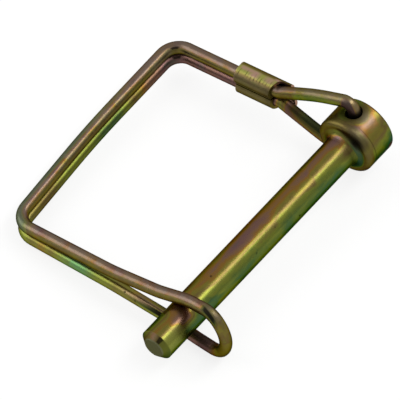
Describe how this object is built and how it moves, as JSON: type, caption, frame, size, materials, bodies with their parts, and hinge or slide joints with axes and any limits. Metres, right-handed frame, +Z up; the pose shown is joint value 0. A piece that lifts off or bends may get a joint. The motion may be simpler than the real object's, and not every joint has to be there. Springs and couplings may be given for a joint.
{
  "type": "wire lock pin",
  "caption": "Headed round steel pin with a doubled spring-wire square bail that hooks into its head, swings about it and snaps closed round the shaft near the tip.",
  "frame": {"origin": "centre of the bounding box's base, on the surface the pin lies on", "axes": "+X is the shaft's direction towards its tip as seen from above (the shaft itself rises or falls by a few degrees, as the pin comes to rest), +Y is from the bail's outer leg towards the shaft, +Z is up"},
  "size_m": [0.0926, 0.0794, 0.0263],
  "materials": {
    "pin_steel": "iridescent yellow zinc plating, olive to gold with pink and green tints",
    "wire_steel": "iridescent yellow zinc plating on drawn spring wire",
    "ferrule_steel": "iridescent yellow zinc plating on rolled sheet"
  },
  "bodies": {
    "pin": {"pin": "pin_steel"},
    "bail": {"wire_bail": "wire_steel", "ferrule": "ferrule_steel"}
  },
  "joints": [
    {"name": "bail_swing", "type": "hinge", "parent": "pin", "child": "bail", "pos_m": [-0.04123, 0.02363, 0.01334], "axis": [-0.0593, 0.0939, -0.9938], "range_deg": [0, 250], "deforming": ["wire_bail"]}
  ]
}
